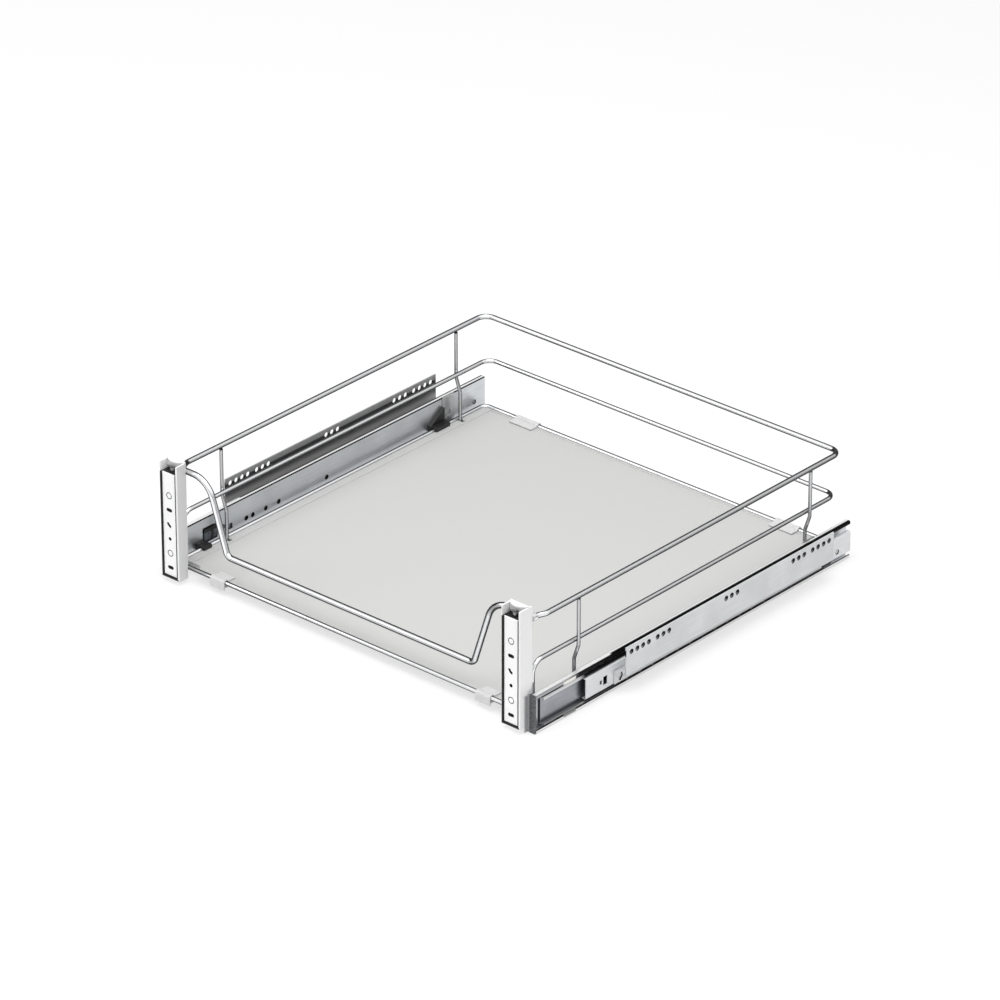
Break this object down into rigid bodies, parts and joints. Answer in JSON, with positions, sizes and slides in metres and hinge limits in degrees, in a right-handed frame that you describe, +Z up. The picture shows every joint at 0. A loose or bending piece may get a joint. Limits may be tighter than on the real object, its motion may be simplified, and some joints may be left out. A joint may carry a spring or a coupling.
{
  "type": "pull out cabinet basket",
  "caption": "Chromed wire basket with a flat grey tray between two white front posts, on ball bearing slides with brackets for a cabinet's side walls.",
  "frame": {"origin": "under the middle of the basket, level with the slides' lowest edge", "axes": "+X across the cabinet to the right seen from the front, +Y from the front panel to the back, +Z up"},
  "size_m": [0.563, 0.518, 0.1425],
  "materials": {
    "bracket_zinc": "zinc plated sheet, satin",
    "cabinet_member_zinc": "bright zinc plated sheet, satin",
    "middle_member_zinc": "zinc plated sheet, satin",
    "basket_member_zinc": "zinc plated sheet, satin",
    "hook_zinc": "zinc plated sheet, satin",
    "rivet_steel": "bright",
    "black_plastic": "fine matt",
    "pale_plastic": "fine matt",
    "ball_steel": "polished",
    "screw_steel": "bright",
    "cap_plastic": "smooth white",
    "face_paint": "white powder coat",
    "post_paint": "white powder coat",
    "sleeve_zinc": "bright",
    "tray_plastic": "light grey, fine matt",
    "clip_plastic": "clear, faintly milky",
    "wire_chrome": "bright chrome plate"
  },
  "bodies": {
    "cabinet_side": {"left_mounting_bracket": "bracket_zinc", "right_mounting_bracket": "bracket_zinc", "left_cabinet_member": "cabinet_member_zinc", "right_cabinet_member": "cabinet_member_zinc", "left_bracket_rivets": "rivet_steel", "right_bracket_rivets": "rivet_steel", "left_rear_buffer": "black_plastic", "right_rear_buffer": "black_plastic"},
    "left_middle": {"left_middle_member": "middle_member_zinc"},
    "left_outer_row": {"left_outer_cage": "black_plastic", "left_outer_balls": "ball_steel"},
    "left_inner_row": {"left_inner_cage": "pale_plastic", "left_inner_balls": "ball_steel"},
    "left_lever": {"left_release_lever": "black_plastic"},
    "right_middle": {"right_middle_member": "middle_member_zinc"},
    "right_outer_row": {"right_outer_cage": "black_plastic", "right_outer_balls": "ball_steel"},
    "right_inner_row": {"right_inner_cage": "pale_plastic", "right_inner_balls": "ball_steel"},
    "right_lever": {"right_release_lever": "black_plastic"},
    "basket": {"left_basket_member": "basket_member_zinc", "right_basket_member": "basket_member_zinc", "left_front_buffers": "pale_plastic", "right_front_buffers": "pale_plastic", "left_slide_bracket": "hook_zinc", "right_slide_bracket": "hook_zinc", "left_front_catch": "black_plastic", "right_front_catch": "black_plastic", "left_rear_catch": "black_plastic", "right_rear_catch": "black_plastic", "left_rear_hook": "hook_zinc", "right_rear_hook": "hook_zinc", "left_post": "post_paint", "right_post": "post_paint", "left_post_insert": "black_plastic", "right_post_insert": "black_plastic", "left_post_carrier": "post_paint", "right_post_carrier": "post_paint", "left_face_plate": "face_paint", "right_face_plate": "face_paint", "left_face_rivets": "face_paint", "right_face_rivets": "face_paint", "left_post_cap": "cap_plastic", "right_post_cap": "cap_plastic", "post_cap_screws": "screw_steel", "ring_sleeves": "sleeve_zinc", "top_ring": "wire_chrome", "lower_ring": "wire_chrome", "dip_wire": "wire_chrome", "base_frame": "wire_chrome", "front_base_wire": "wire_chrome", "front_cross_wire": "wire_chrome", "rear_cross_wire": "wire_chrome", "tray_panel": "tray_plastic", "front_tray_clips": "clip_plastic", "rear_tray_clips": "clip_plastic"}
  },
  "joints": [
    {"name": "basket_slide", "type": "slide", "parent": "cabinet_side", "child": "basket", "axis": [0, -1, 0], "range_m": [0, 0.48]},
    {"name": "left_middle_slide", "type": "slide", "parent": "cabinet_side", "child": "left_middle", "axis": [0, -1, 0], "range_m": [0, 0.241]},
    {"name": "left_outer_row_slide", "type": "slide", "parent": "cabinet_side", "child": "left_outer_row", "axis": [0, -1, 0], "range_m": [0, 0.361]},
    {"name": "left_inner_row_slide", "type": "slide", "parent": "cabinet_side", "child": "left_inner_row", "axis": [0, -1, 0], "range_m": [0, 0.121]},
    {"name": "right_middle_slide", "type": "slide", "parent": "cabinet_side", "child": "right_middle", "axis": [0, -1, 0], "range_m": [0, 0.241]},
    {"name": "right_outer_row_slide", "type": "slide", "parent": "cabinet_side", "child": "right_outer_row", "axis": [0, -1, 0], "range_m": [0, 0.361]},
    {"name": "right_inner_row_slide", "type": "slide", "parent": "cabinet_side", "child": "right_inner_row", "axis": [0, -1, 0], "range_m": [0, 0.121]},
    {"name": "left_lever_turn", "type": "hinge", "parent": "basket", "child": "left_lever", "pos_m": [-0.254, -0.161, 0.02325], "axis": [1, 0, 0], "range_deg": [-5, 5], "stiffness_Nm_per_rad": 0.02},
    {"name": "right_lever_turn", "type": "hinge", "parent": "basket", "child": "right_lever", "pos_m": [0.254, -0.161, 0.02325], "axis": [1, 0, 0], "range_deg": [-5, 5], "stiffness_Nm_per_rad": 0.02}
  ],
  "couplings": [
    {"joint": "left_middle_slide", "follows": "basket_slide", "ratio": 0.5},
    {"joint": "left_outer_row_slide", "follows": "basket_slide", "ratio": 0.75},
    {"joint": "left_inner_row_slide", "follows": "basket_slide", "ratio": 0.25},
    {"joint": "right_middle_slide", "follows": "basket_slide", "ratio": 0.5},
    {"joint": "right_outer_row_slide", "follows": "basket_slide", "ratio": 0.75},
    {"joint": "right_inner_row_slide", "follows": "basket_slide", "ratio": 0.25}
  ]
}
